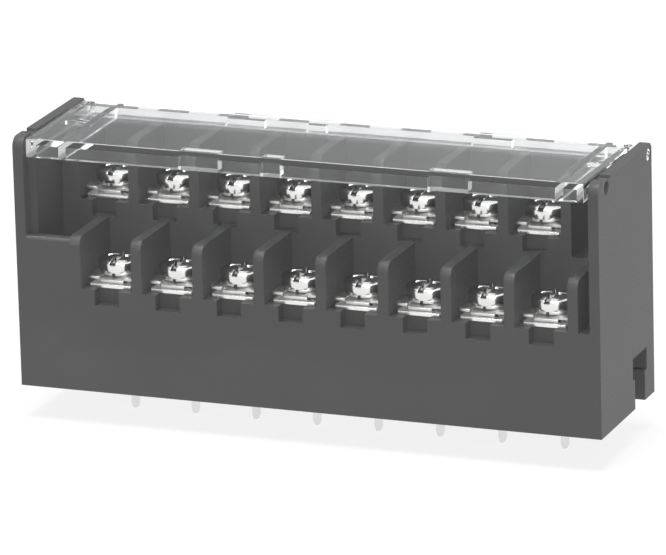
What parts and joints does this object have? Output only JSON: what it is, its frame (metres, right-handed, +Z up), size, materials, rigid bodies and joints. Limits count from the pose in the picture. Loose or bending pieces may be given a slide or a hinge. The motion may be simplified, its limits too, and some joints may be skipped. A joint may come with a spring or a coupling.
{
  "type": "barrier terminal strip",
  "caption": "Two-tier screw barrier terminal strip for a circuit board, with staggered wire bays, solder pins and a hinged clear cover.",
  "frame": {"origin": "middle of the housing's footprint, on the board's surface", "axes": "+X along the strip to its right end, +Y from the front to the back, +Z up away from the board"},
  "size_m": [0.0716, 0.0186, 0.034],
  "materials": {
    "housing": "fine matt moulded, dark grey",
    "cover": "clear, polished",
    "terminal": "tin plated",
    "washer": "nickel plated",
    "screw": "nickel plated"
  },
  "bodies": {
    "housing": {"housing": "housing", "lower_terminal_1": "terminal", "lower_terminal_2": "terminal", "lower_terminal_3": "terminal", "lower_terminal_4": "terminal", "lower_terminal_5": "terminal", "lower_terminal_6": "terminal", "lower_terminal_7": "terminal", "lower_terminal_8": "terminal", "upper_terminal_1": "terminal", "upper_terminal_2": "terminal", "upper_terminal_3": "terminal", "upper_terminal_4": "terminal", "upper_terminal_5": "terminal", "upper_terminal_6": "terminal", "upper_terminal_7": "terminal", "upper_terminal_8": "terminal"},
    "cover": {"cover": "cover"},
    "lower_clamp_1": {"lower_screw_1": "screw", "lower_washers_1": "washer"},
    "lower_clamp_2": {"lower_screw_2": "screw", "lower_washers_2": "washer"},
    "lower_clamp_3": {"lower_screw_3": "screw", "lower_washers_3": "washer"},
    "lower_clamp_4": {"lower_screw_4": "screw", "lower_washers_4": "washer"},
    "lower_clamp_5": {"lower_screw_5": "screw", "lower_washers_5": "washer"},
    "lower_clamp_6": {"lower_screw_6": "screw", "lower_washers_6": "washer"},
    "lower_clamp_7": {"lower_screw_7": "screw", "lower_washers_7": "washer"},
    "lower_clamp_8": {"lower_screw_8": "screw", "lower_washers_8": "washer"},
    "upper_clamp_1": {"upper_screw_1": "screw", "upper_washers_1": "washer"},
    "upper_clamp_2": {"upper_screw_2": "screw", "upper_washers_2": "washer"},
    "upper_clamp_3": {"upper_screw_3": "screw", "upper_washers_3": "washer"},
    "upper_clamp_4": {"upper_screw_4": "screw", "upper_washers_4": "washer"},
    "upper_clamp_5": {"upper_screw_5": "screw", "upper_washers_5": "washer"},
    "upper_clamp_6": {"upper_screw_6": "screw", "upper_washers_6": "washer"},
    "upper_clamp_7": {"upper_screw_7": "screw", "upper_washers_7": "washer"},
    "upper_clamp_8": {"upper_screw_8": "screw", "upper_washers_8": "washer"}
  },
  "joints": [
    {"name": "cover_hinge", "type": "hinge", "parent": "housing", "child": "cover", "pos_m": [0, 0.0084, 0.02875], "axis": [-1, 0, 0], "range_deg": [0, 110]},
    {"name": "lower_clamp_travel_1", "type": "slide", "parent": "housing", "child": "lower_clamp_1", "axis": [0, 0, 1], "range_m": [0, 0.0025]},
    {"name": "lower_clamp_travel_2", "type": "slide", "parent": "housing", "child": "lower_clamp_2", "axis": [0, 0, 1], "range_m": [0, 0.0025]},
    {"name": "lower_clamp_travel_3", "type": "slide", "parent": "housing", "child": "lower_clamp_3", "axis": [0, 0, 1], "range_m": [0, 0.0025]},
    {"name": "lower_clamp_travel_4", "type": "slide", "parent": "housing", "child": "lower_clamp_4", "axis": [0, 0, 1], "range_m": [0, 0.0025]},
    {"name": "lower_clamp_travel_5", "type": "slide", "parent": "housing", "child": "lower_clamp_5", "axis": [0, 0, 1], "range_m": [0, 0.0025]},
    {"name": "lower_clamp_travel_6", "type": "slide", "parent": "housing", "child": "lower_clamp_6", "axis": [0, 0, 1], "range_m": [0, 0.0025]},
    {"name": "lower_clamp_travel_7", "type": "slide", "parent": "housing", "child": "lower_clamp_7", "axis": [0, 0, 1], "range_m": [0, 0.0025]},
    {"name": "lower_clamp_travel_8", "type": "slide", "parent": "housing", "child": "lower_clamp_8", "axis": [0, 0, 1], "range_m": [0, 0.0025]},
    {"name": "upper_clamp_travel_1", "type": "slide", "parent": "housing", "child": "upper_clamp_1", "axis": [0, 0, 1], "range_m": [0, 0.0025]},
    {"name": "upper_clamp_travel_2", "type": "slide", "parent": "housing", "child": "upper_clamp_2", "axis": [0, 0, 1], "range_m": [0, 0.0025]},
    {"name": "upper_clamp_travel_3", "type": "slide", "parent": "housing", "child": "upper_clamp_3", "axis": [0, 0, 1], "range_m": [0, 0.0025]},
    {"name": "upper_clamp_travel_4", "type": "slide", "parent": "housing", "child": "upper_clamp_4", "axis": [0, 0, 1], "range_m": [0, 0.0025]},
    {"name": "upper_clamp_travel_5", "type": "slide", "parent": "housing", "child": "upper_clamp_5", "axis": [0, 0, 1], "range_m": [0, 0.0025]},
    {"name": "upper_clamp_travel_6", "type": "slide", "parent": "housing", "child": "upper_clamp_6", "axis": [0, 0, 1], "range_m": [0, 0.0025]},
    {"name": "upper_clamp_travel_7", "type": "slide", "parent": "housing", "child": "upper_clamp_7", "axis": [0, 0, 1], "range_m": [0, 0.0025]},
    {"name": "upper_clamp_travel_8", "type": "slide", "parent": "housing", "child": "upper_clamp_8", "axis": [0, 0, 1], "range_m": [0, 0.0025]}
  ]
}
